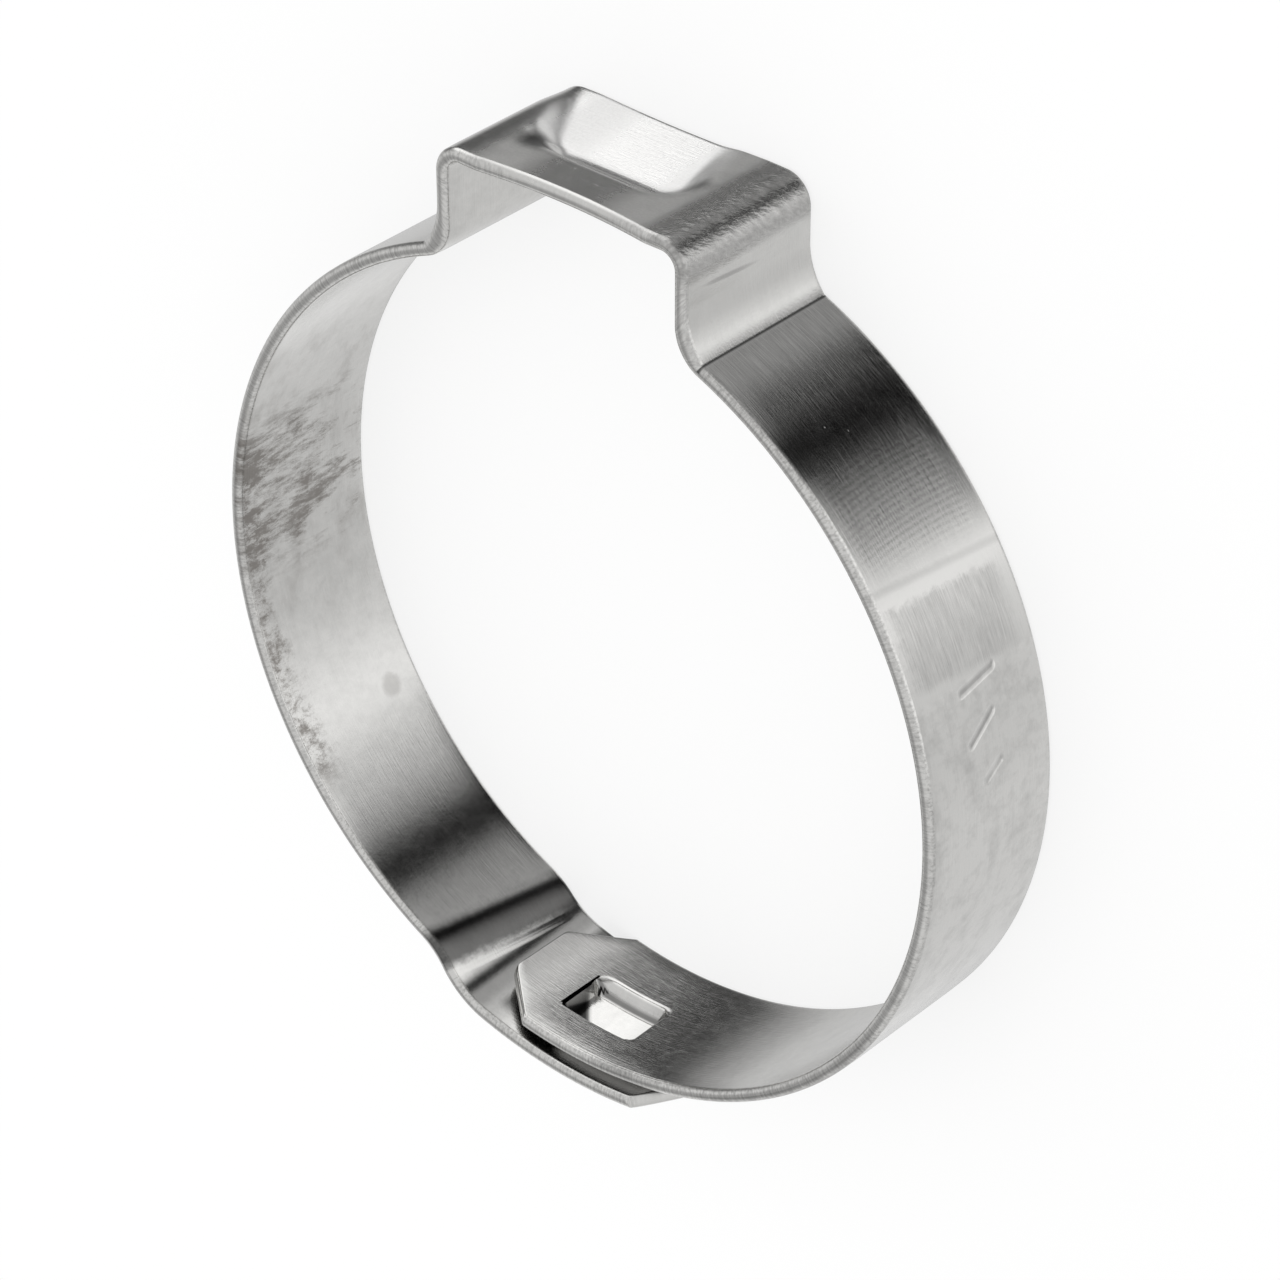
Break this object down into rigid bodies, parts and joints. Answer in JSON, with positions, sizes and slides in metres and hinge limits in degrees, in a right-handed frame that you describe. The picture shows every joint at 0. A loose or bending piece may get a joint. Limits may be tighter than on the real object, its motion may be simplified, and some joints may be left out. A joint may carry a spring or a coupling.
{
  "type": "ear hose clamp",
  "caption": "One-ear hose clamp: a stainless strip rolled into a ring, with a crimping ear with a dimpled top and overlapping ends held by a pressed hook in a window.",
  "frame": {"origin": "centre of the ring on the edge it rests on", "axes": "+Z along the ring's axis, up from the resting edge; +Y from the centre towards the ear"},
  "size_m": [0.0358, 0.0402, 0.007],
  "materials": {
    "stainless_steel": "satin rolled strip with ground and stained patches"
  },
  "bodies": {
    "root": {"clamp_band": "stainless_steel"}
  },
  "joints": []
}
